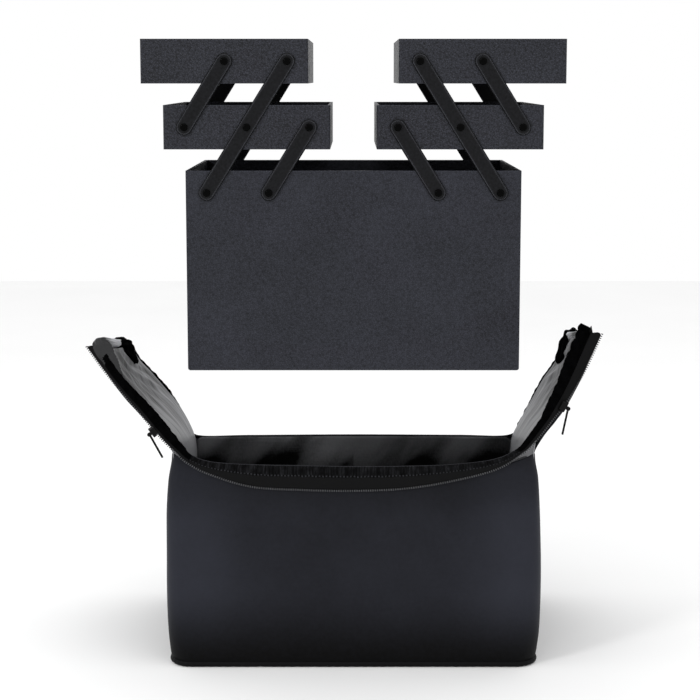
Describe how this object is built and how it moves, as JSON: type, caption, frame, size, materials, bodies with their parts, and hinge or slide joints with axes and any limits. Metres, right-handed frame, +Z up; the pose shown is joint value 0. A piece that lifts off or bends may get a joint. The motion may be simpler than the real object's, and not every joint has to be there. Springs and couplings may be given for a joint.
{
  "type": "makeup train case",
  "caption": "Rigid box with cantilever trays on riveted links, lifted out of a soft zip bag whose mouth stands open between two flared end flaps.",
  "frame": {"origin": "middle of the bag's underside, on the floor", "axes": "+Z up through the mouth, +X along the bag's length to the viewer's right, -Y the front"},
  "size_m": [0.5293, 0.2526, 0.6416],
  "materials": {
    "bag_shell": "satin coated fabric",
    "piping": "satin",
    "base_board": "matt",
    "lining": "silky satin weave",
    "binding": "gathered ribbon",
    "zip_tape": "fine weave",
    "zip_teeth": "moulded coil",
    "flap_hem": "gathered hem",
    "zip_metal": "black enamel",
    "tray_pad": "short velour",
    "rivet": "gloss black",
    "link": "satin black",
    "case_cover": "fine grain, matt",
    "tray_cover": "coarse grain, matt"
  },
  "bodies": {
    "bag": {"bag_base": "bag_shell", "bag_piping": "piping", "bag_board": "base_board", "bag_front_panel": "bag_shell", "bag_rear_panel": "bag_shell", "bag_left_panel": "bag_shell", "bag_right_panel": "bag_shell", "bag_lining": "lining", "front_binding": "binding", "front_zip_tape": "zip_tape", "front_zip_teeth": "zip_teeth", "rear_binding": "binding", "rear_zip_tape": "zip_tape", "rear_zip_teeth": "zip_teeth"},
    "case": {"case_wrap": "case_cover", "case_front_board": "case_cover", "case_rear_board": "case_cover", "case_floor_pad": "tray_pad", "case_rivets": "rivet"},
    "left_long_links": {"left_long_links": "link"},
    "left_inner_links": {"left_inner_links": "link"},
    "left_outer_links": {"left_outer_links": "link"},
    "lower_left_tray": {"lower_left_tray": "tray_cover", "lower_left_tray_pad": "tray_pad", "lower_left_tray_rivets": "rivet"},
    "upper_left_tray": {"upper_left_tray": "tray_cover", "upper_left_tray_pad": "tray_pad", "upper_left_tray_rivets": "rivet"},
    "right_long_links": {"right_long_links": "link"},
    "right_inner_links": {"right_inner_links": "link"},
    "right_outer_links": {"right_outer_links": "link"},
    "lower_right_tray": {"lower_right_tray": "tray_cover", "lower_right_tray_pad": "tray_pad", "lower_right_tray_rivets": "rivet"},
    "upper_right_tray": {"upper_right_tray": "tray_cover", "upper_right_tray_pad": "tray_pad", "upper_right_tray_rivets": "rivet"},
    "left_flap": {"left_flap": "bag_shell", "left_flap_lining": "lining", "left_flap_binding": "binding", "left_flap_tape": "zip_tape", "left_flap_teeth": "zip_teeth", "left_flap_hem": "flap_hem"},
    "left_slider": {"left_slider": "zip_metal"},
    "left_puller": {"left_puller": "zip_metal"},
    "right_flap": {"right_flap": "bag_shell", "right_flap_lining": "lining", "right_flap_binding": "binding", "right_flap_tape": "zip_tape", "right_flap_teeth": "zip_teeth", "right_flap_hem": "flap_hem"},
    "right_slider": {"right_slider": "zip_metal"},
    "right_puller": {"right_puller": "zip_metal"}
  },
  "joints": [
    {"name": "case_lift", "type": "slide", "parent": "bag", "child": "case", "axis": [0, 0, 1], "range_m": [-0.2935, 0]},
    {"name": "left_long_links_swing", "type": "hinge", "parent": "case", "child": "left_long_links", "pos_m": [-0.147, 0, 0.489], "axis": [0, -1, 0], "range_deg": [-22.33, 85.93]},
    {"name": "left_inner_links_swing", "type": "hinge", "parent": "case", "child": "left_inner_links", "pos_m": [-0.08475, 0, 0.489], "axis": [0, -1, 0], "range_deg": [-22.33, 85.93]},
    {"name": "lower_left_tray_pivot", "type": "hinge", "parent": "left_long_links", "child": "lower_left_tray", "pos_m": [-0.10652, 0, 0.55428], "axis": [0, -1, 0], "range_deg": [-85.93, 22.33]},
    {"name": "upper_left_tray_pivot", "type": "hinge", "parent": "left_long_links", "child": "upper_left_tray", "pos_m": [-0.06605, 0, 0.61956], "axis": [0, -1, 0], "range_deg": [-85.93, 22.33]},
    {"name": "left_outer_links_swing", "type": "hinge", "parent": "lower_left_tray", "child": "left_outer_links", "pos_m": [-0.16877, 0, 0.55428], "axis": [0, -1, 0], "range_deg": [-22.33, 85.93]},
    {"name": "right_long_links_swing", "type": "hinge", "parent": "case", "child": "right_long_links", "pos_m": [0.147, 0, 0.489], "axis": [0, 1, 0], "range_deg": [-22.33, 85.93]},
    {"name": "right_inner_links_swing", "type": "hinge", "parent": "case", "child": "right_inner_links", "pos_m": [0.08475, 0, 0.489], "axis": [0, 1, 0], "range_deg": [-22.33, 85.93]},
    {"name": "lower_right_tray_pivot", "type": "hinge", "parent": "right_long_links", "child": "lower_right_tray", "pos_m": [0.10652, 0, 0.55428], "axis": [0, 1, 0], "range_deg": [-85.93, 22.33]},
    {"name": "upper_right_tray_pivot", "type": "hinge", "parent": "right_long_links", "child": "upper_right_tray", "pos_m": [0.06605, 0, 0.61956], "axis": [0, 1, 0], "range_deg": [-85.93, 22.33]},
    {"name": "right_outer_links_swing", "type": "hinge", "parent": "lower_right_tray", "child": "right_outer_links", "pos_m": [0.16877, 0, 0.55428], "axis": [0, 1, 0], "range_deg": [-22.33, 85.93]},
    {"name": "left_flap_fold", "type": "hinge", "parent": "bag", "child": "left_flap", "pos_m": [-0.186, 0, 0.212], "axis": [0, -0.9912, 0.1322], "range_deg": [-37.5, 60]},
    {"name": "left_slider_travel", "type": "slide", "parent": "left_flap", "child": "left_slider", "axis": [-0.6088, 0.1049, 0.7864], "range_m": [-0.006, 0.094]},
    {"name": "left_puller_swing", "type": "hinge", "parent": "left_slider", "child": "left_puller", "pos_m": [-0.20738, -0.11158, 0.24339], "axis": [0, 0.9912, -0.1322], "range_deg": [-5, 75]},
    {"name": "right_flap_fold", "type": "hinge", "parent": "bag", "child": "right_flap", "pos_m": [0.186, 0, 0.212], "axis": [0, 0.9912, -0.1322], "range_deg": [-29.5, 60]},
    {"name": "right_slider_travel", "type": "slide", "parent": "right_flap", "child": "right_slider", "axis": [0.4924, 0.115, 0.8627], "range_m": [-0.033, 0.067]},
    {"name": "right_puller_swing", "type": "hinge", "parent": "right_slider", "child": "right_puller", "pos_m": [0.21819, -0.1081, 0.26947], "axis": [0, -0.9912, 0.1322], "range_deg": [-14, 75]}
  ],
  "couplings": [
    {"joint": "left_inner_links_swing", "follows": "left_long_links_swing", "ratio": 1},
    {"joint": "lower_left_tray_pivot", "follows": "left_long_links_swing", "ratio": -1},
    {"joint": "upper_left_tray_pivot", "follows": "left_long_links_swing", "ratio": -1},
    {"joint": "left_outer_links_swing", "follows": "left_long_links_swing", "ratio": 1},
    {"joint": "right_inner_links_swing", "follows": "right_long_links_swing", "ratio": 1},
    {"joint": "lower_right_tray_pivot", "follows": "right_long_links_swing", "ratio": -1},
    {"joint": "upper_right_tray_pivot", "follows": "right_long_links_swing", "ratio": -1},
    {"joint": "right_outer_links_swing", "follows": "right_long_links_swing", "ratio": 1}
  ]
}
